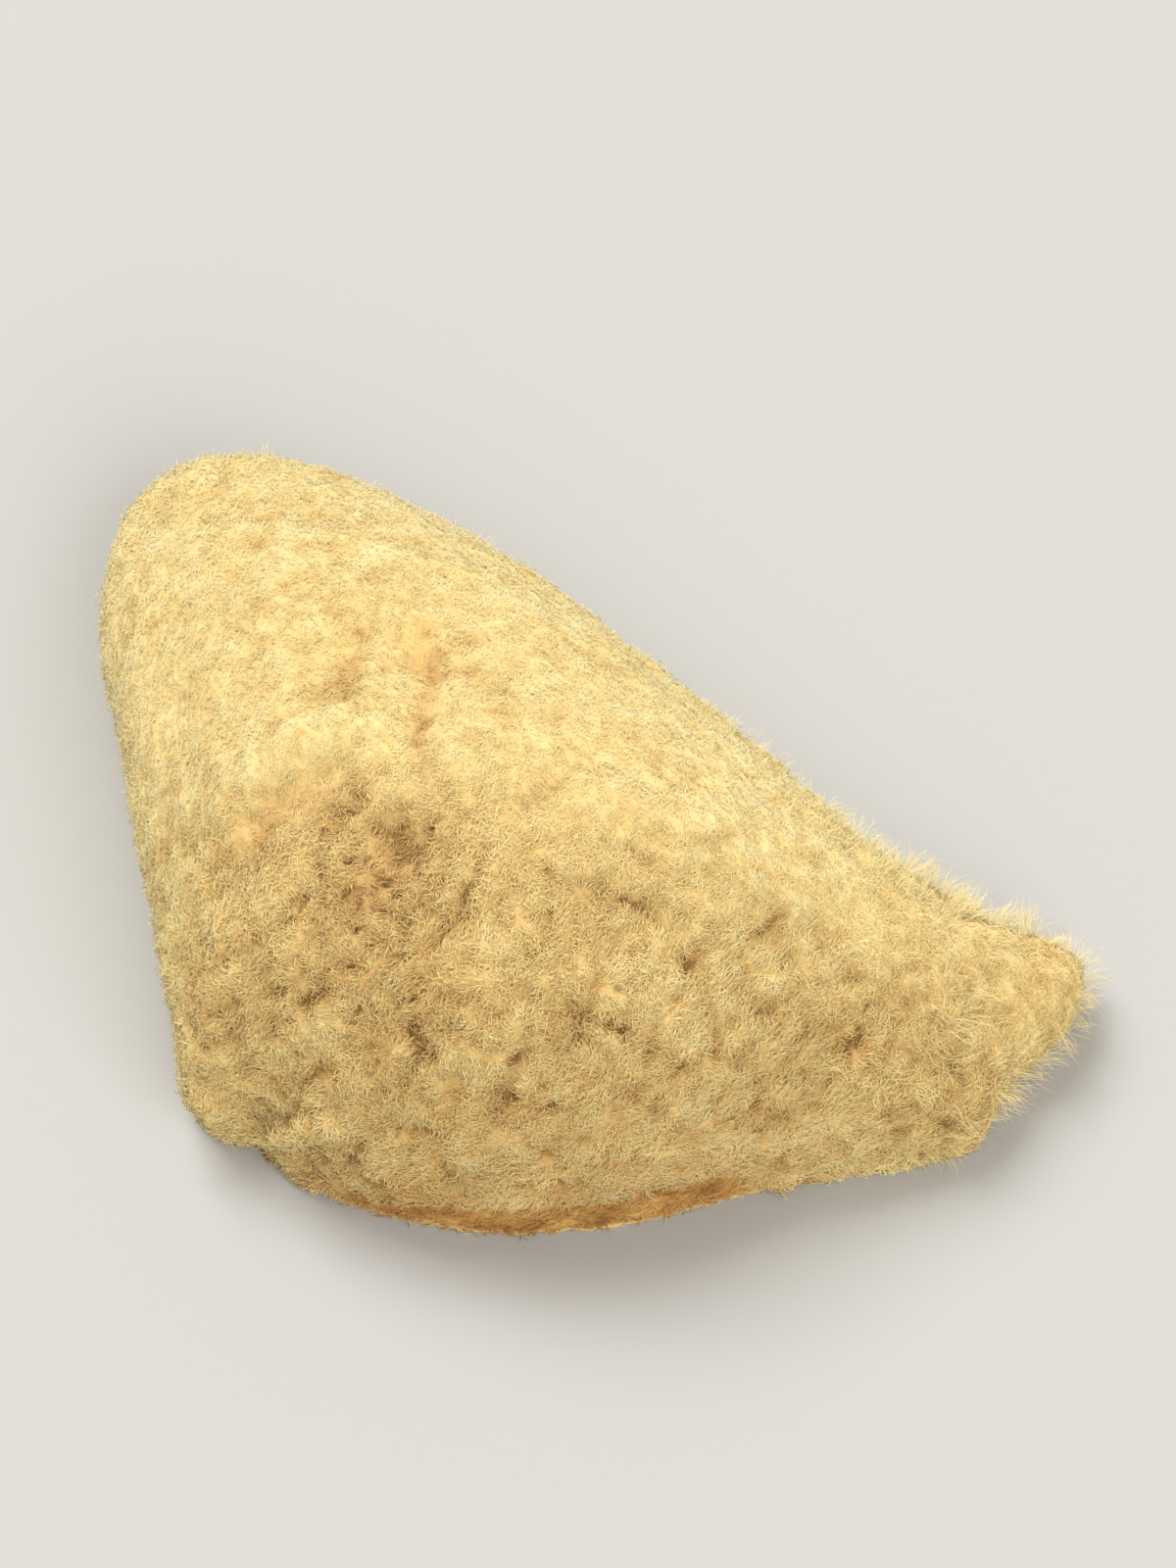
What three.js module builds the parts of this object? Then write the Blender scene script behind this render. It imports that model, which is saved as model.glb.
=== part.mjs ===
// Sea sponge: one small piece of a fine silk sponge, lying on its flat cut base with the felted face up.
// Millimetres, +X to the pointed tip, +Y to the round lobe, +Z up.
import * as THREE from "three";

// Driving dimensions.
const crownHeight = 13.4;
const centreX = -3.5;
const centreY = -3.5;
const roundness = 2.25;
const sideHeight = 3.8;
const tipHeight = 2.2;
const frontHeight = 1.2;
const frontCutHeight = 3.5;
const baseInset = 1.6;
const columns = 104;
const domeRings = 30;
const wallRings = 6;

// Plan outline, anticlockwise from the pointed tip.
const outlinePoints = [
  [18.9, -6.7],
  [15.4, -5.3],
  [11.6, -3.6],
  [6.2, 1.3],
  [0.2, 6.7],
  [-6.4, 11.9],
  [-10.8, 14.0],
  [-14.6, 14.6],
  [-17.5, 12.7],
  [-18.6, 8.6],
  [-17.9, 2.8],
  [-16.5, -4.0],
  [-15.3, -10.0],
  [-14.7, -12.8],
  [-12.6, -13.4],
  [-9.4, -15.7],
  [-4.2, -17.1],
  [1.4, -16.9],
  [6.6, -15.4],
  [11.4, -14.4],
  [15.1, -13.2],
  [16.1, -10.9],
  [17.8, -9.8],
];

const outline = new THREE.CatmullRomCurve3(
  outlinePoints.map(([x, y]) => new THREE.Vector3(x, y, 0)),
  true,
  "centripetal",
);

// 0 at a, 1 at b and smooth between, for b on either side of a.
function ramp(a, b, v) {
  const t = THREE.MathUtils.clamp((v - a) / (b - a), 0, 1);
  return t * t * (3 - 2 * t);
}

// Round hump of height 1 at (cx, cy), its long way turned by an angle in degrees, with two half-widths.
function hump(x, y, cx, cy, along, across, degrees) {
  const turn = THREE.MathUtils.degToRad(degrees);
  const u = (x - cx) * Math.cos(turn) + (y - cy) * Math.sin(turn);
  const v = (y - cy) * Math.cos(turn) - (x - cx) * Math.sin(turn);
  return Math.exp(-((u / along) ** 2) - (v / across) ** 2);
}

// Height of the widest line above the base: low at the tip and the front, but higher over the cut front wall.
function widestHeight(x, y) {
  const front = ramp(-11, -14.5, y);
  const cut = Math.max(0, 1 - ((x + 2.2) / 9) ** 2);
  const plain = THREE.MathUtils.lerp(sideHeight, tipHeight, ramp(8, 17, x));
  return THREE.MathUtils.lerp(plain, frontHeight + (frontCutHeight - frontHeight) * cut, front);
}

// How far the bottom edge sits inside the widest line: little on the front, where the cut wall is upright.
function inset(x, y) {
  return baseInset * (1 - 0.9 * ramp(-9.5, -14, y)) * (1 - 0.45 * ramp(9, 17, x));
}

// Height of the dome before it rounds off to the edge: a long soft ridge near the front that falls away
// gently behind, faster in front and most at the tip.
function domeHeight(x, y) {
  const behind = y + 6.4 + 0.24 * (x + 4);
  const slope = 0.03 + 0.14 * ramp(-7, 7, behind);
  const fall = slope * (Math.hypot(behind, 3) - 3);
  return (crownHeight - fall) * (1 - 0.5 * ramp(0, 19, x)) * (1 - 0.1 * ramp(-12, -18, x));
}

// Large folds of the felted face: raised lip, valley, furrows, pits, dents and low swellings.
function folds(x, y) {
  let d = 0;
  d += 0.55 * hump(x, y, -12.4, -3.2, 3.4, 1.1, 30);
  d -= 0.45 * hump(x, y, -12.0, -6.0, 2.8, 1.4, 25);
  d -= 0.9 * hump(x, y, -7.4, -6.9, 1.3, 1.1, 10);
  d -= 0.5 * hump(x, y, -9.3, -4.1, 1.0, 0.8, 0);
  d -= 0.6 * hump(x, y, -6.4, 0.4, 2.6, 1.0, 80);
  d -= 0.35 * hump(x, y, -9.4, 1.4, 2.4, 0.9, 75);
  d += 0.3 * hump(x, y, -13.4, 8.0, 4.0, 3.2, 30);
  d += 0.25 * hump(x, y, -5.0, 6.4, 4.0, 2.2, -40);
  d -= 0.5 * hump(x, y, 1.9, -10.2, 1.8, 0.8, -32);
  d -= 0.5 * hump(x, y, 6.6, -10.4, 1.8, 0.8, 20);
  d += 0.3 * hump(x, y, 4.6, -6.4, 3.6, 2.2, -25);
  d += 0.35 * hump(x, y, -12.0, -10.6, 2.6, 1.6, 20);
  d -= 0.4 * hump(x, y, -8.8, -12.4, 2.2, 1.0, 60);
  d += 0.4 * hump(x, y, -3.4, -13.4, 2.6, 1.4, 0);
  d += 0.35 * hump(x, y, 3.4, -13.6, 2.4, 1.2, 10);
  d -= 0.45 * hump(x, y, 9.2, -12.0, 2.0, 1.0, 60);
  d += 0.4 * hump(x, y, 13.2, -9.6, 2.6, 1.4, -20);
  return d;
}

// The outline with its small corners worn away, which the dome follows inwards from its edge.
function softened(edges) {
  const reach = Math.round(edges.length / 12);
  return edges.map((_, c) => {
    const sum = new THREE.Vector3();
    for (let i = -reach; i <= reach; i += 1) {
      sum.add(edges[(c + i + edges.length) % edges.length]);
    }
    return sum.divideScalar(2 * reach + 1);
  });
}

// One point of the skin above an outline point: s is 0 at the middle of the base, 1 at the base rim,
// 2 at the widest line and 3 at the crown.
function surfacePoint(edge, soft, s) {
  const centre = new THREE.Vector3(centreX, centreY, 0);
  const rim = 1 - inset(edge.x, edge.y) / centre.distanceTo(edge);
  const widest = widestHeight(edge.x, edge.y);
  if (s <= 1) {
    return centre.lerp(edge, rim * s);
  }
  if (s <= 2) {
    const turn = ((s - 1) * Math.PI) / 2;
    const point = centre.lerp(edge, rim + (1 - rim) * Math.sin(turn));
    return point.setZ(widest * (1 - Math.cos(turn)));
  }
  const turn = ((s - 2) * Math.PI) / 2;
  const reach = Math.cos(turn) ** (2 / roundness);
  const point = centre.lerp(soft.clone().lerp(edge, reach ** 5), reach);
  const lift = Math.sin(turn) ** (2 / roundness);
  const height = domeHeight(point.x, point.y) + folds(point.x, point.y);
  return point.setZ(THREE.MathUtils.lerp(widest, height, lift));
}

// The closed skin: a fan at the middle of the base, rings over the rim, wall and dome, a fan at the crown.
function spongeGeometry() {
  const stations = [0.5, 1];
  for (let i = 1; i <= wallRings; i += 1) {
    stations.push(1 + i / wallRings);
  }
  for (let i = 1; i < domeRings; i += 1) {
    stations.push(2 + i / domeRings);
  }
  const edges = outline.getSpacedPoints(columns).slice(0, columns);
  const softEdges = softened(edges);
  const points = stations.flatMap((s) => edges.map((edge, c) => surfacePoint(edge, softEdges[c], s)));
  const bottom = points.length;
  points.push(surfacePoint(edges[0], softEdges[0], 0));
  const top = points.length;
  points.push(surfacePoint(edges[0], softEdges[0], 3));
  const lastRing = (stations.length - 1) * columns;
  const index = [];
  for (let c = 0; c < columns; c += 1) {
    const next = (c + 1) % columns;
    index.push(bottom, next, c);
    index.push(top, lastRing + c, lastRing + next);
    for (let ring = 0; ring < lastRing; ring += columns) {
      const above = ring + columns;
      index.push(ring + c, ring + next, above + next);
      index.push(ring + c, above + next, above + c);
    }
  }
  const geometry = new THREE.BufferGeometry().setFromPoints(points);
  geometry.setIndex(index);
  geometry.computeBoundingBox();
  const box = geometry.boundingBox;
  geometry.translate(-(box.min.x + box.max.x) / 2, -(box.min.y + box.max.y) / 2, 0);
  geometry.computeVertexNormals();
  return geometry;
}

const spongin = new THREE.MeshStandardMaterial({ color: 0xe6c883, roughness: 0.95, metalness: 0 });
const sponge = new THREE.Mesh(spongeGeometry(), spongin);
sponge.name = "sponge";

const part = new THREE.Group();
part.add(sponge);

export default part;
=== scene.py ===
import math

import bpy
import numpy as np
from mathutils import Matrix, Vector


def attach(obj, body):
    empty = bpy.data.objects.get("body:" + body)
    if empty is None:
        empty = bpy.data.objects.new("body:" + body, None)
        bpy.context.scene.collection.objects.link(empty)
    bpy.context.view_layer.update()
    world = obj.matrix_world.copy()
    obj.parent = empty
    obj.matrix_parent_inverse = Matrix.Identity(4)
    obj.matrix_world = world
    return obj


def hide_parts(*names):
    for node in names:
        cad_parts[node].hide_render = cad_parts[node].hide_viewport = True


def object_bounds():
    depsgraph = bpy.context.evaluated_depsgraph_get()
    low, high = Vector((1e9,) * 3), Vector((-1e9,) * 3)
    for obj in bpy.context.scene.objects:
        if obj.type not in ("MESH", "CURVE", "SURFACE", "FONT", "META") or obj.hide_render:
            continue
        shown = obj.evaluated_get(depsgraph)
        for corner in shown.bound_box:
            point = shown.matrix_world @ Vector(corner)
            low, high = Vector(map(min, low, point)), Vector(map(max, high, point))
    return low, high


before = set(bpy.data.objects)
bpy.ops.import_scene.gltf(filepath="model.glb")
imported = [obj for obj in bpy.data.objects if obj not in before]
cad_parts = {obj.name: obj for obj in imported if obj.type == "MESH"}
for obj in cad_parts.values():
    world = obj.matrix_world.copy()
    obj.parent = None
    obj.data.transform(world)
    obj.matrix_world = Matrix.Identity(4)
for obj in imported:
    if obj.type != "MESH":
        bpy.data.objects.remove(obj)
cad_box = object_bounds()


# ---- Body -----------------------------------------------------------------------------------
# The piece is one lump of spongin, the horny fibre net of a bath sponge, which dries straw yellow.
# It was sliced off a larger sponge: the base is a flat cut, and a short smooth strip of the cut shows
# under the front edge. The face is felted fine behind its ridge and lumpy and pored in front of it.
MM = 0.001
body_voxel = 0.18
lump_size = 2.4
small_lump_size = 1.08
pore_count = 520
pore_half_widths = (0.18, 0.36)
ridge_y = -5.0
ridge_slant = 0.24
cut_height = 3.3
cut_slant = 0.08
cut_middle = -1.6
cut_half_length = 8.8
random_rows = 4096


def hashed(cells, table):
    """One row of a random table for each whole-number cell, the same row each time."""
    x, y, z = cells[..., 0] * 73856093, cells[..., 1] * 19349663, cells[..., 2] * 83492791
    return table[(x ^ y ^ z) % len(table)]


def noise(points, size, seed):
    """Smooth noise from about -1 to 1 whose swellings are one size across, in millimetres."""
    slopes = np.random.default_rng(seed).normal(size=(random_rows, 3))
    slopes /= np.linalg.norm(slopes, axis=1)[:, None]
    low = np.floor(points / size).astype(np.int64)
    part = points / size - low
    blend = part**3 * (part * (part * 6 - 15) + 10)
    total = np.zeros(len(points))
    for corner in np.ndindex(2, 2, 2):
        share = np.prod(np.where(corner, blend, 1 - blend), axis=1)
        total += share * np.sum(hashed(low + corner, slopes) * (part - corner), axis=1)
    to_unit_range = 1.6
    return total * to_unit_range


def clumps(points, size, seed):
    """Each point's distances to the nearest and next nearest clump middle, in clump sizes, and the place
    of the nearest one."""
    spots = np.random.default_rng(seed).random((random_rows, 3))
    low = np.floor(points / size).astype(np.int64)
    nearest = np.full(len(points), np.inf)
    second = nearest.copy()
    middle = np.zeros_like(points)
    for step in np.ndindex(3, 3, 3):
        cell = low + step - 1
        spot = cell + hashed(cell, spots)
        away = np.linalg.norm(points / size - spot, axis=1)
        second = np.minimum(second, np.maximum(nearest, away))
        middle = np.where((away < nearest)[:, None], spot * size, middle)
        nearest = np.minimum(nearest, away)
    return nearest, second, middle


def ramp(a, b, value):
    """0 at a, 1 at b and smooth between, for b on either side of a."""
    t = np.clip((value - a) / (b - a), 0, 1)
    return t * t * (3 - 2 * t)


def bell(away, half_width):
    """1 where away is 0, falling smoothly on both sides."""
    return np.exp(-((away / half_width) ** 2))


def positions(mesh):
    """A mesh's vertices as rows of x, y and z."""
    flat = np.empty(len(mesh.vertices) * 3)
    mesh.vertices.foreach_get("co", flat)
    return flat.reshape(-1, 3)


def normals(mesh):
    """The outward direction at each vertex of a mesh."""
    flat = np.empty(len(mesh.vertices) * 3)
    mesh.vertex_normals.foreach_get("vector", flat)
    return flat.reshape(-1, 3)


# The CAD solid, worked in millimetres while it is remeshed, gives the body its shape and size.
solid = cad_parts["sponge"].data.copy()
solid.vertices.foreach_set("co", (positions(solid) * (1 / MM)).ravel())
body = bpy.data.objects.new("sponge_body", solid)
bpy.context.scene.collection.objects.link(body)
remesh = body.modifiers.new("remesh", "REMESH")
remesh.mode = "VOXEL"
remesh.voxel_size = body_voxel
soften = body.modifiers.new("soften", "SMOOTH")
soften.factor = 0.5
soften.iterations = 12
depsgraph = bpy.context.evaluated_depsgraph_get()
skin = bpy.data.meshes.new_from_object(body.evaluated_get(depsgraph))
body.modifiers.clear()
body.data = skin
bpy.data.meshes.remove(solid)

points = positions(skin)
outward = normals(skin)
facing_back = outward[:, 1]
facing_up = outward[:, 2]
x, y, z = points.T

# Each mask is 1 where its thing is and 0 elsewhere: the flat base, the lumpy felt in front of the ridge,
# the strip of cut below an arched line, and the felt tinted by it.
on_base = ramp(0.25, 0.05, z) * ramp(-0.5, -0.9, facing_up)
behind_ridge = y - ridge_y + ridge_slant * (x + 4)
lumpy = ramp(3.0, -3.0, behind_ridge + 1.2 * noise(points, 5, 8)) * (1 - on_base)
pressed_flat = ramp(-13.5, -16.5, x)
lumpy *= 1 - 0.7 * pressed_flat
over_cut = z - cut_height - cut_slant * x + cut_height * ((x - cut_middle) / cut_half_length) ** 4
cut_edge = over_cut + 0.5 * noise(points, 2.5, 9) + 0.3 * noise(points, 0.9, 10)
front_cut = ramp(0, -0.7, cut_edge) * ramp(-0.5, -0.8, facing_back) * ramp(0.75, 0.4, np.abs(facing_up))
tint_above = 0.25 * ramp(1.4, 0, cut_edge) + 0.15 * ramp(7, 2, cut_edge)
tinted = np.maximum(front_cut, tint_above * ramp(-0.1, -0.5, facing_back) * (1 - on_base))


def between(fine, coarse):
    """One value on the fine felt that passes into another on the lumps."""
    return fine + (coarse - fine) * lumpy


def patch(middle_x, middle_y, half_x, half_y):
    """A round patch in plan, 1 in its middle."""
    return bell(x - middle_x, half_x) * bell(y - middle_y, half_y)


# The felt is swollen between a net of shallow creases, fine behind the ridge and coarse in front. Each
# layer has its height in millimetres on the fine felt and on the lumps, and its form.
warp = np.stack([noise(points, 2.2, 90 + i) + 0.5 * noise(points, 0.9, 50 + i) for i in range(3)], axis=1)
inner, outer, _ = clumps(points + 0.7 * warp, lump_size, 11)
crease = bell(outer - inner, 0.3)
small_inner, small_outer, _ = clumps(points + 0.4 * warp, small_lump_size, 12)
small_crease = bell(small_outer - small_inner, 0.25)
stipple = noise(points, 0.85, 2)
fleck = noise(points, 0.45, 3)
mean_reach = 0.55
layers = [
    (0, 0.08, mean_reach - inner),
    (0, -0.04, crease),
    (0.08, 0.12, mean_reach - small_inner),
    (0.13, 0.13, noise(points, 1.9, 1)),
    (0.07, 0.13, stipple),
    (0.04, 0.06, fleck),
    (0.22, 0.08, noise(points + warp, 4.5, 13)),
]
relief = sum(between(fine, coarse) * form for fine, coarse, form in layers)

# Browner smudges, which are strongest by the furrows, fine pits among the lumps, and the torn edge at the
# front left.
smudge = ramp(0.1, 0.9, noise(points + 0.5 * warp, 1.9, 14) + 0.5 * noise(points, 0.9, 15))
smudge *= between(0.45, 0.8) + 0.7 * patch(-7.5, 2, 4, 4)
pits = lumpy * ramp(0.3, 0.75, noise(points + 0.15 * warp, 0.6, 17))
torn = ramp(3.0, 1.0, z) * ramp(-0.1, -0.5, facing_back) * ramp(-3, -7, x)
relief += 0.4 * torn * noise(points, 1.3, 16) - 0.08 * smudge - 0.1 * pits

# Wisps grow on upright edges, mostly at the pointed tip and behind it, and a few on the tip's face.
wispy = ramp(0.9, 0.5, np.abs(facing_up)) * (0.2 + 0.8 * ramp(-0.6, 0.3, facing_back))
wispy *= 0.02 + ramp(4, 12, x)
wispy += 0.22 * ramp(9, 14, x) * ramp(0.2, 0.6, facing_up)

# Marks of the face, each from one place to another in plan, with a half-width and a depth, all in
# millimetres. A mark with a depth below 0 stands up.
marks = [
    # The raised lip, the hollow under it, and the torn flap and corner.
    ((-13.6, -3.2), (-12.2, -2.2), 1.0, -0.18),
    ((-12.2, -2.2), (-10.6, -1.6), 1.0, -0.22),
    ((-10.6, -1.6), (-7.6, -0.9), 0.9, -0.2),
    ((-13.0, -4.6), (-10.2, -3.4), 0.9, 0.22),
    ((-11.6, -13.0), (-9.4, -13.8), 0.42, -0.7),
    ((-14.4, -12.2), (-14.0, -12.4), 0.7, -0.6),
    # The furrows.
    ((-6.2, 3.8), (-5.9, 1.4), 0.75, 0.26),
    ((-5.9, 1.4), (-6.3, -1.8), 0.6, 0.22),
    ((-7.2, 3.5), (-7.5, 1.8), 0.35, 0.24),
    ((-8.7, 3.2), (-8.9, 2.0), 0.5, 0.24),
    ((-12.0, -0.9), (-9.0, 0.4), 0.32, 0.16),
    # The deep pit and its neighbours.
    ((-7.1, -6.1), (-6.8, -5.7), 1.0, 0.36),
    ((-8.4, -7.6), (-7.2, -6.6), 1.0, 0.25),
    ((-9.2, -3.5), (-8.8, -3.4), 0.42, 0.22),
    # The slanting dents.
    ((1.3, -8.0), (2.9, -8.8), 0.26, 0.3),
    ((6.1, -8.4), (7.3, -7.3), 0.28, 0.32),
    # The large pores of the lumpy part.
    ((-2.4, -13.1), (-2.9, -14.4), 0.45, 0.22),
    ((-8.2, -11.4), (-8.0, -11.2), 0.5, 0.2),
    ((-6.1, -12.7), (-5.9, -12.6), 0.45, 0.16),
    ((-5.0, -14.0), (-4.9, -13.8), 0.5, 0.22),
    ((-9.9, -12.5), (-9.6, -12.3), 0.5, 0.22),
    ((-6.5, -14.8), (-6.2, -14.7), 0.5, 0.30),
    ((3.6, -9.8), (3.9, -9.7), 0.5, 0.30),
    ((5.0, -11.5), (5.2, -11.4), 0.5, 0.22),
    ((9.7, -11.0), (10.0, -10.8), 0.55, 0.27),
    ((8.4, -12.4), (8.6, -12.3), 0.45, 0.22),
    ((6.8, -13.3), (7.1, -13.2), 0.5, 0.32),
    ((8.8, -13.5), (9.0, -13.4), 0.45, 0.22),
]


def on_face(place):
    """The point of the face straight above a place on the table."""
    out_of_reach = 9.0
    away = np.hypot(x - place[0], y - place[1]) + out_of_reach * (facing_up < 0.1)
    return points[np.argmin(away)]


def from_line(start, end):
    """Each point's distance from the straight line between two points, made uneven by the felt."""
    along = end - start
    share = np.clip((points - start) @ along / (along @ along + 1e-9), 0, 1)
    return np.linalg.norm(points - start - share[:, None] * along + 0.2 * warp, axis=1)


hollow = np.zeros(len(points))
raised = np.zeros(len(points))
for start, end, half_width, mark_depth in marks:
    form = bell(from_line(on_face(start), on_face(end)), half_width)
    if mark_depth > 0:
        hollow = np.maximum(hollow, mark_depth * form)
    else:
        raised = np.maximum(raised, -mark_depth * form)

# Pores open into the creases between the lumps, and are few on the fine felt.
draw = np.random.default_rng(21)
wish = (0.1 + lumpy) * (0.15 + crease) * (1 - front_cut)
wish += 0.8 * on_base
chosen = draw.choice(len(points), pore_count, replace=False, p=wish / wish.sum())
for at, half_width in zip(chosen, draw.uniform(*pore_half_widths, pore_count)):
    away = np.linalg.norm(points - points[at] + 0.2 * (warp - warp[at]), axis=1)
    pore_depth = half_width * draw.uniform(0.15, 0.75)
    hollow = np.maximum(hollow, pore_depth * bell(away, half_width))

# The felt hangs over the cut as a low lip, and the cut is smoother and lies a little back.
lip_height = 0.2
cut_setback = 0.2
lip = bell(over_cut - 0.3, 0.5) * ramp(-0.4, -0.8, facing_back) * ramp(8, 5, np.abs(x + 2))
relief = relief * (1 - 0.7 * front_cut) * (1 - on_base) + raised - hollow
relief += lip_height * lip - cut_setback * front_cut
points += outward * relief[:, None]
points[:, 2] = np.maximum(points[:, 2], 0)
skin.vertices.foreach_set("co", (points * MM).ravel())
skin.polygons.foreach_set("use_smooth", np.ones(len(skin.polygons), bool))
skin.update()

# Painted shade and tone at each point, from below 0 where swellings and raised marks are painted paler as
# painted highlight to 1 at the bottom of a pore. Pores, pits, dents, furrows and creases are painted
# darker as painted shade, the browner smudges are the felt's own tone, and the front left, the middle of
# the lumps and the pointed tip are painted darker than the rest as painted shade.
shaded = lumpy * ramp(2, -10, x) * ramp(-2, -6, y) * (0.35 + 0.4 * ramp(-15.5, -12, x))
shaded += lumpy * patch(-6.5, -9.5, 3.6, 3.2) + 1.2 * ramp(8.5, 14, x)
shade_and_tone = between(1.4, 1.0) * hollow + (0.14 * crease + 0.12 * small_crease) * lumpy
shade_and_tone += 0.34 * smudge + 0.26 * pits
shade_and_tone -= between(0.24, 0.15) * stipple + between(0.14, 0.10) * fleck
shade_and_tone = np.clip(shade_and_tone + 0.13 * shaded - 0.35 * raised, -0.3, 1)


def painted(mesh, name, values):
    """Stores one value for each vertex, which the material reads by name."""
    layer = mesh.attributes.new(name, "FLOAT", "POINT")
    layer.data.foreach_set("value", values.ravel().astype(np.float32))


# The body under the felt is painted darker than the threads, more so on the lumps, as painted shade
# between them.
painted(skin, "shade_and_tone", between(0.14, 0.20) + 0.6 * shade_and_tone)
painted(skin, "cut", tinted)


def linear(colour):
    """An sRGB hex colour such as F0D79C as linear red, green and blue with full alpha."""
    shares = [int(colour[i : i + 2], 16) / 255 for i in (0, 2, 4)]
    return [s / 12.92 if s <= 0.04045 else ((s + 0.055) / 1.055) ** 2.4 for s in shares] + [1.0]


def node(material, kind, inputs, **settings):
    """Adds a shader node with its settings, and fills or links its inputs by name or number."""
    made = material.node_tree.nodes.new("ShaderNode" + kind)
    for name, value in settings.items():
        setattr(made, name, value)
    for name, value in inputs.items():
        if isinstance(value, bpy.types.NodeSocket):
            material.node_tree.links.new(value, made.inputs[name])
        else:
            made.inputs[name].default_value = value
    return made


# Dry spongin: a horn-like fibre with the IOR of horn, laid down by the animal as a fine net. The net
# scatters nearly all its light, so it looks matte and soft. Its colour runs from pale straw, painted on
# swellings and fibre ends as painted highlight, to brown, painted in pores, creases, under the felt and
# on the shaded parts as painted shade. Its own tone also varies at random, and it is a smoother
# orange-brown where it was cut. The tone changes in patches about 2 mm across. The fibres are about 0.02
# mm thick and too fine to show, so the grain is drawn 0.16 mm across, which is as coarse as it needs to
# be to show.
highlight_straw = linear("FCF0BC")
straw = linear("F1DA98")
tan = linear("D2AE70")
shade_brown = linear("927040")
dark_cut = linear("A8753C")
light_cut = linear("E0B26C")
patch_width = 2.2 * MM
grain_width = 0.16 * MM
spongin = bpy.data.materials.new("dry_spongin")
spongin.use_nodes = True
spongin.node_tree.nodes.clear()
place = node(spongin, "TexCoord", {}).outputs["Object"]
mottling = {"Vector": place, "Scale": 1 / patch_width, "Detail": 5.0, "Roughness": 0.6}
patches = node(spongin, "TexNoise", mottling)
grain = {"Vector": place, "Scale": 1 / grain_width, "Detail": 2.0, "Distortion": 1.2}
speckle = node(spongin, "TexNoise", grain)
painted_shade_and_tone = node(spongin, "Attribute", {}, attribute_name="shade_and_tone").outputs["Fac"]
grained_shade_and_tone = node(
    spongin,
    "Math",
    {0: speckle.outputs["Fac"], 1: 0.4, 2: painted_shade_and_tone},
    operation="MULTIPLY_ADD",
)
patchy_shade_and_tone = node(
    spongin,
    "Math",
    {0: patches.outputs["Fac"], 1: 0.42, 2: grained_shade_and_tone.outputs[0]},
    operation="MULTIPLY_ADD",
)
# This ramp turns painted shade and tone into colour: its paler end is painted highlight and its browner
# end painted shade, with the felt's own tone between.
shade_and_tone_ramp = node(spongin, "ValToRGB", {"Fac": patchy_shade_and_tone.outputs[0]})
stops = shade_and_tone_ramp.color_ramp.elements
stops[0].position = 0.25
stops[0].color = highlight_straw
stops[1].position = 1.0
stops[1].color = shade_brown
stops.new(0.55).color = straw
stops.new(0.85).color = tan
at_cut = node(spongin, "Attribute", {}, attribute_name="cut").outputs["Fac"]
cut_brown = node(spongin, "ValToRGB", {"Fac": patches.outputs["Fac"]})
cut_stops = cut_brown.color_ramp.elements
cut_stops[0].position = 0.32
cut_stops[0].color = dark_cut
cut_stops[1].position = 0.68
cut_stops[1].color = light_cut
colour = node(
    spongin,
    "Mix",
    {0: at_cut, 6: shade_and_tone_ramp.outputs["Color"], 7: cut_brown.outputs["Color"]},
    data_type="RGBA",
)
nap_height = 0.08 * MM
nap = node(spongin, "Bump", {"Height": speckle.outputs["Fac"], "Strength": 0.6, "Distance": nap_height})
surface = node(
    spongin,
    "BsdfPrincipled",
    {
        "Base Color": colour.outputs[2],
        "IOR": 1.55,
        "Roughness": 0.95,
        "Diffuse Roughness": 1.0,
        "Specular IOR Level": 0.15,
        "Normal": nap.outputs["Normal"],
    },
)
node(spongin, "OutputMaterial", {"Surface": surface.outputs["BSDF"]})
skin.materials.clear()
skin.materials.append(spongin)

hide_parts("sponge")
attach(body, "root")


# ---- Felt and wisps -------------------------------------------------------------------------
# The loose ends of the fibre net make a felt over the body: pointed threads of spongin up to half a
# millimetre long, drawn together in small locks. Longer wisps stand off the edges and the tip's face.
# Real fibres are about 0.02 mm thick and too fine to show, so the felt is drawn about 0.04 mm thick.
thread_radius = 0.024
thread_lengths = (0.16, 0.5)
threads_per_piece = 31000
lock_size = 0.62
root_depth = 0.04
stray_share = 0.02
stray_rise = 0.25
sides = 3
skin.calc_loop_triangles()
corners = np.empty(len(skin.loop_triangles) * 3, np.int64)
skin.loop_triangles.foreach_get("vertices", corners)
corners = corners.reshape(-1, 3)
outward = normals(skin)
a, b, c = (points[corners[:, i]] for i in range(3))
areas = np.linalg.norm(np.cross(b - a, c - a), axis=1) / 2


def unit(rows):
    """Rows scaled to length 1."""
    return rows / (np.linalg.norm(rows, axis=-1, keepdims=True) + 1e-9)


def along_skin(rows, out):
    """Directions turned to lie along the skin."""
    return unit(rows - out * np.sum(rows * out, axis=1)[:, None])


def scattered(count, wish, seed):
    """Places on the skin, more where wish is higher, with the outward direction and masks at each."""
    draw = np.random.default_rng(seed)
    share = areas * wish[corners].mean(axis=1)
    chosen = draw.choice(len(corners), count, p=share / share.sum())
    mix = draw.dirichlet([1, 1, 1], count)[:, :, None]
    at = np.sum(points[corners[chosen]] * mix, axis=1)
    out = unit(np.sum(outward[corners[chosen]] * mix, axis=1))
    masks = [mask[corners[chosen, 0]] for mask in (shade_and_tone, tinted, lumpy)]
    return at, out, *masks


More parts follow.
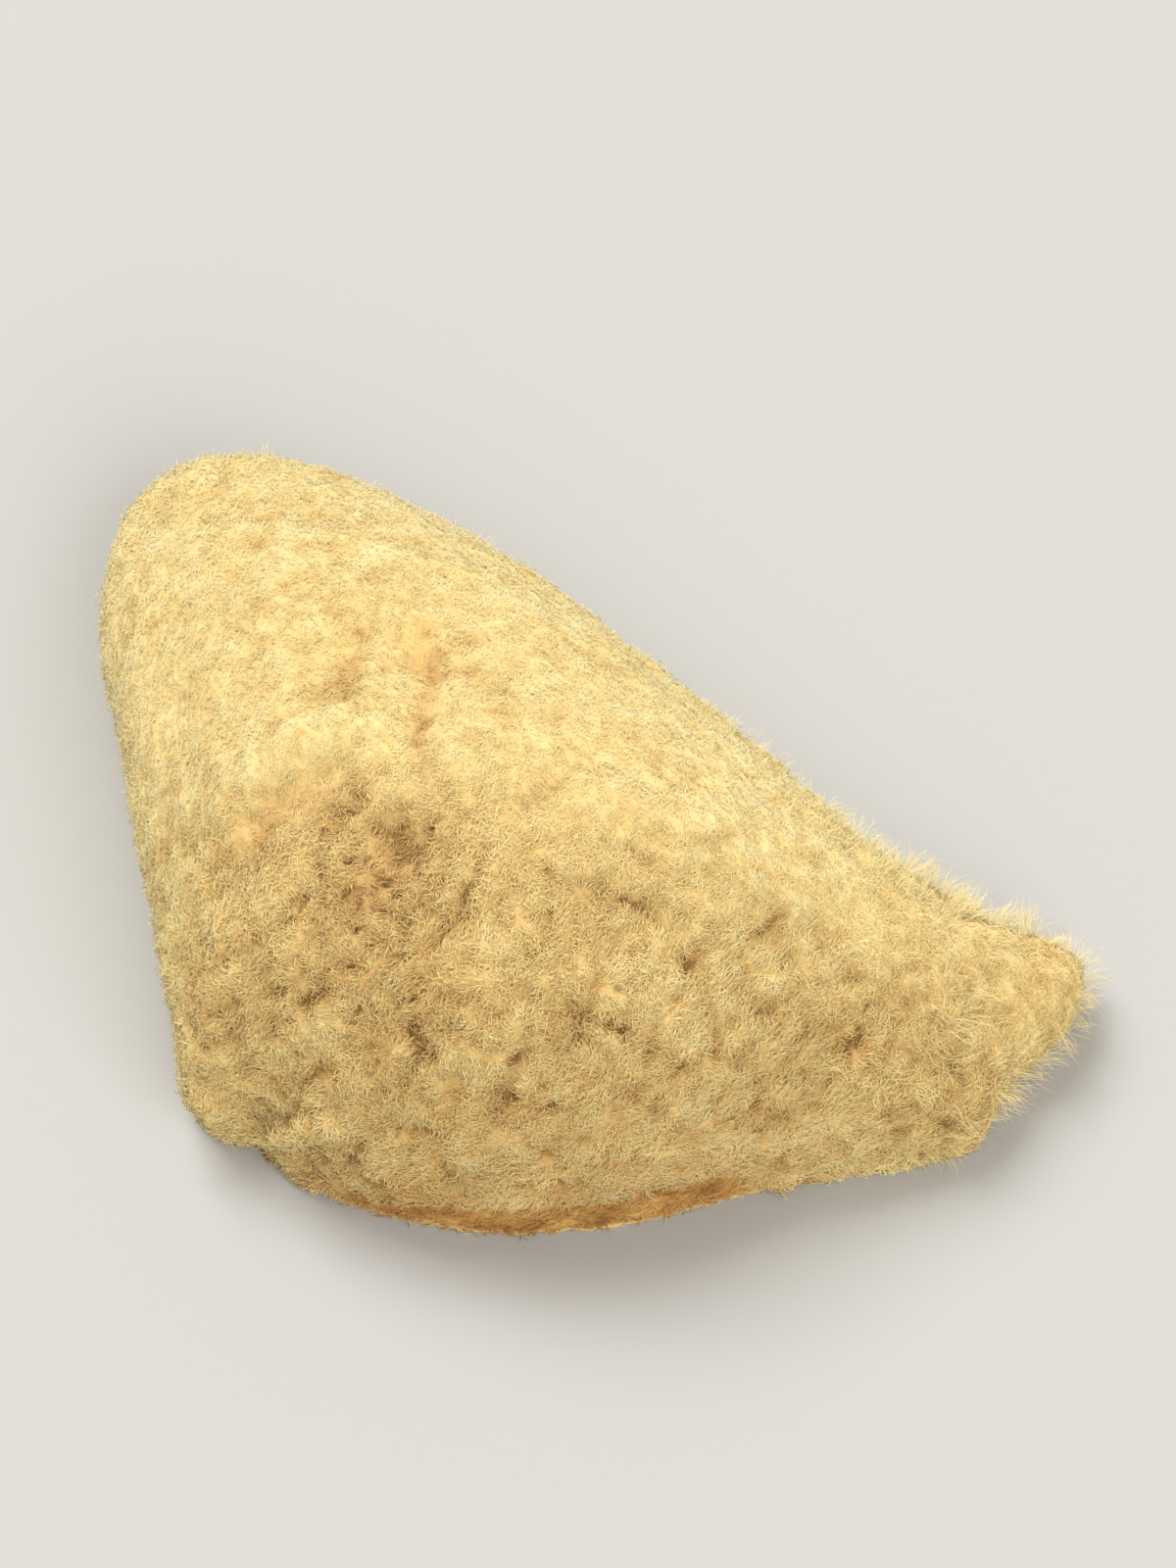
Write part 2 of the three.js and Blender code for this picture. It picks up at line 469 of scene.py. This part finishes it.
def threads(name, route, radius, facing, root_shade_and_tone, on_cut):
    """One mesh of threads along their routes, pointed at both ends. Each thread is shaded mostly as the
    felt round it, which faces one way. It carries the painted shade and tone of the felt at its root, and
    is painted darker towards its root as painted shade."""
    roundness = 0.35
    root_shade = 0.14
    own_tone = 0.05
    count, stops = route.shape[:2]
    route[:, :, 2] = np.maximum(route[:, :, 2], 2 * radius[:, None])
    heading = unit(route[:, 2:] - route[:, :-2])
    across = unit(np.cross(heading, facing[:, None]))
    over = np.cross(heading, across)
    turns = 2 * math.pi * np.arange(sides)[:, None] / sides
    spokes = across[:, :, None] * np.cos(turns) + over[:, :, None] * np.sin(turns)
    rings = (route[:, 1:-1, None] + radius[:, None, None, None] * spokes).reshape(count, -1, 3)
    verts = np.concatenate([route[:, :1], rings, route[:, -1:]], axis=1)
    per_thread = verts.shape[1]
    end = per_thread - 1
    last_ring = end - sides
    faces = []
    for k in range(sides):
        n = (k + 1) % sides
        faces.append((1 + n, 1 + k, 0))
        for ring in range(1, last_ring, sides):
            above = ring + sides
            faces.append((ring + k, ring + n, above + n))
            faces.append((ring + k, above + n, above + k))
        faces.append((last_ring + k, last_ring + n, end))
    tris = (np.array(faces)[None] + per_thread * np.arange(count)[:, None, None]).reshape(-1, 3)
    mesh = bpy.data.meshes.new(name)
    mesh.vertices.add(count * per_thread)
    mesh.vertices.foreach_set("co", (verts * MM).ravel())
    mesh.loops.add(len(tris) * 3)
    mesh.loops.foreach_set("vertex_index", tris.ravel().astype(np.int32))
    mesh.polygons.add(len(tris))
    mesh.polygons.foreach_set("loop_start", np.arange(0, len(tris) * 3, 3, dtype=np.int32))
    mesh.update(calc_edges=True)
    mesh.polygons.foreach_set("use_smooth", np.ones(len(tris), bool))
    lit = np.repeat(facing[:, None], per_thread, axis=1)
    lit[:, 1:-1] += roundness * spokes.reshape(count, -1, 3)
    mesh.normals_split_custom_set_from_vertices(unit(lit).reshape(-1, 3))
    own = np.random.default_rng(len(name)).normal(scale=own_tone, size=count)
    # Painted shade: each thread darkens towards its root.
    shade_from_root = root_shade * np.repeat(np.linspace(1, 0, stops), [1] + [sides] * (stops - 2) + [1])
    painted(mesh, "shade_and_tone", shade_from_root + (own + 0.7 * root_shade_and_tone)[:, None] - 0.05)
    painted(mesh, "cut", np.repeat(on_cut, per_thread))
    mesh.materials.append(spongin)
    piece = bpy.data.objects.new(name, mesh)
    bpy.context.scene.collection.objects.link(piece)
    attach(piece, "root")


# Four coats of felt: one behind the ridge, one on the lumps and two all round. They are thin in the
# pores and on the cut, and the base has none.
open_skin = (1 - on_base) * (1 - 0.4 * front_cut) * (1 - 0.8 * ramp(0.06, 0.22, hollow)) + 1e-6
regions = {
    "felt_behind_ridge": (1 - lumpy) * open_skin,
    "felt_on_lumps": (0.05 + lumpy) * open_skin,
    "felt_all_round": open_skin,
    "felt_second_coat": open_skin,
}
for seed, (name, wish) in enumerate(regions.items()):
    roots, out, root_shade_and_tone, on_cut, on_lumps = scattered(threads_per_piece, wish, 40 + seed)
    draw = np.random.default_rng(60 + seed)
    _, _, lock = clumps(roots, lock_size, 33)
    swirl = np.stack([noise(lock, 1.7, 30 + i) for i in range(3)], axis=1)
    combed_back = np.array([0.3, 0.35, 0]) * ramp(-4, 8, roots[:, :1])
    swirl += combed_back
    own_way = draw.normal(size=roots.shape)
    lean = along_skin(swirl * 1.4 + own_way * (0.85 - 0.55 * on_lumps)[:, None], out)
    lengths = draw.uniform(*thread_lengths, (len(roots), 1)) * (0.7 + 0.3 * on_lumps[:, None])
    gather = (0.1 + 0.15 * on_lumps)[:, None] * (lock - roots)
    gather -= out * np.sum(gather * out, axis=1)[:, None]
    rise = 0.03 + 0.03 * on_lumps[:, None] + draw.exponential(0.04, (len(roots), 1))
    rise += stray_rise * (draw.random((len(roots), 1)) < stray_share)
    route = np.empty((len(roots), 3, 3))
    route[:, 0] = roots - root_depth * out
    route[:, 1] = roots + 0.45 * (lean * lengths + gather) + out * (0.04 + 0.6 * rise)
    route[:, 2] = roots + lean * lengths + gather + out * rise + 0.06 * own_way
    threads(name, route, thread_radius * (0.8 + 0.2 * on_lumps), out, root_shade_and_tone, on_cut)

# Wisps: locks of longer, finer threads that stand off the outline, most of them at the pointed tip, and
# curl over towards the table.
wisp_count = 540
threads_per_wisp = 7
wisp_lengths = (0.25, 0.8)
wisp_half_width = 0.36
wisp_root_depth = 0.05
heads, head_out, _, on_cut, _ = scattered(wisp_count, wispy * open_skin, 71)
draw = np.random.default_rng(72)
which = np.repeat(np.arange(wisp_count), threads_per_wisp)
drift = np.where(head_out[:, 1:2] > 0.2, (0.35, 0.5, 0.1), (0.6, -0.1, 0.05))
lean = unit(head_out * (0.7, 0.7, 0.3) + drift + 0.4 * draw.normal(size=heads.shape))[which]
lean = unit(lean + 0.22 * draw.normal(size=lean.shape))
curl = along_skin((draw.normal(size=heads.shape) - (0, 0, 0.8))[which], lean)
offset = along_skin(draw.normal(size=lean.shape), head_out[which])
offset *= draw.uniform(0, wisp_half_width, (len(which), 1))
length = draw.uniform(*wisp_lengths, wisp_count) * (1 + 1.1 * ramp(7, 16, heads[:, 0]))
length = (length[which] * draw.uniform(0.7, 1.1, len(which)))[:, None]
route = np.empty((len(which), 4, 3))
for i, t in enumerate((0, 0.33, 0.67, 1)):
    bend = 0.5 * length * t * t * curl + 0.08 * t * draw.normal(size=lean.shape)
    route[:, i] = heads[which] + offset * (1 - 0.5 * t) + lean * length * t + bend
route[:, 0] -= wisp_root_depth * head_out[which]
radius = np.full(len(which), 0.4 * thread_radius)
facing = unit(head_out[which] + (0, 0, 0.7))
threads("wisps", route, radius, facing, np.zeros(len(which)), on_cut[which])


# ---- Floor, lights and camera ---------------------------------------------------------------
# A matte pale studio table, broad soft lamps and a camera that looks down on the face.
low, high = (Vector(corner) for corner in cad_box)
middle = (low + high) / 2

edge = 2.0
floor_corners = [(-edge, -edge, 0), (edge, -edge, 0), (edge, edge, 0), (-edge, edge, 0)]
floor_mesh = bpy.data.meshes.new("floor")
floor_mesh.from_pydata(floor_corners, [], [(0, 1, 2, 3)])
floor = bpy.data.objects.new("floor", floor_mesh)
bpy.context.scene.collection.objects.link(floor)
paper = bpy.data.materials.new("matte_paper")
paper.use_nodes = True
sheet = paper.node_tree.nodes["Principled BSDF"].inputs
sheet["Base Color"].default_value = linear("BBBBB9")
sheet["Roughness"].default_value = 0.9
floor_mesh.materials.append(paper)


def lamp(name, place, size, power):
    """A square area lamp that faces the middle of the piece from a place beside it, in metres."""
    light = bpy.data.lights.new(name, "AREA")
    light.size = size
    light.energy = power
    made = bpy.data.objects.new(name, light)
    made.location = middle + Vector(place)
    made.rotation_euler = (-Vector(place)).to_track_quat("-Z", "Y").to_euler()
    bpy.context.scene.collection.objects.link(made)


lamp("key", (-0.8, 0.95, 1.75), 1.2, 42)
lamp("fill", (0.9, -1.6, 1.6), 2.0, 41)
world = bpy.data.worlds.new("studio")
world.use_nodes = True
glow = world.node_tree.nodes["Background"].inputs
glow["Color"].default_value = linear("FFF4E0")
glow["Strength"].default_value = 0.46
bpy.context.scene.world = world
bpy.context.scene.view_settings.view_transform = "Standard"

elevation = math.radians(60)
distance = 0.30
seen_width = 0.0445
camera = bpy.data.cameras.new("camera")
camera.sensor_fit = "HORIZONTAL"
camera.sensor_width = 36
camera.lens = camera.sensor_width * distance / seen_width
camera.clip_start = 0.01
eye = bpy.data.objects.new("camera", camera)
eye.location = middle + distance * Vector((0, -math.cos(elevation), math.sin(elevation)))
eye.rotation_euler = (math.pi / 2 - elevation, 0, 0)
bpy.context.scene.collection.objects.link(eye)
bpy.context.scene.camera = eye
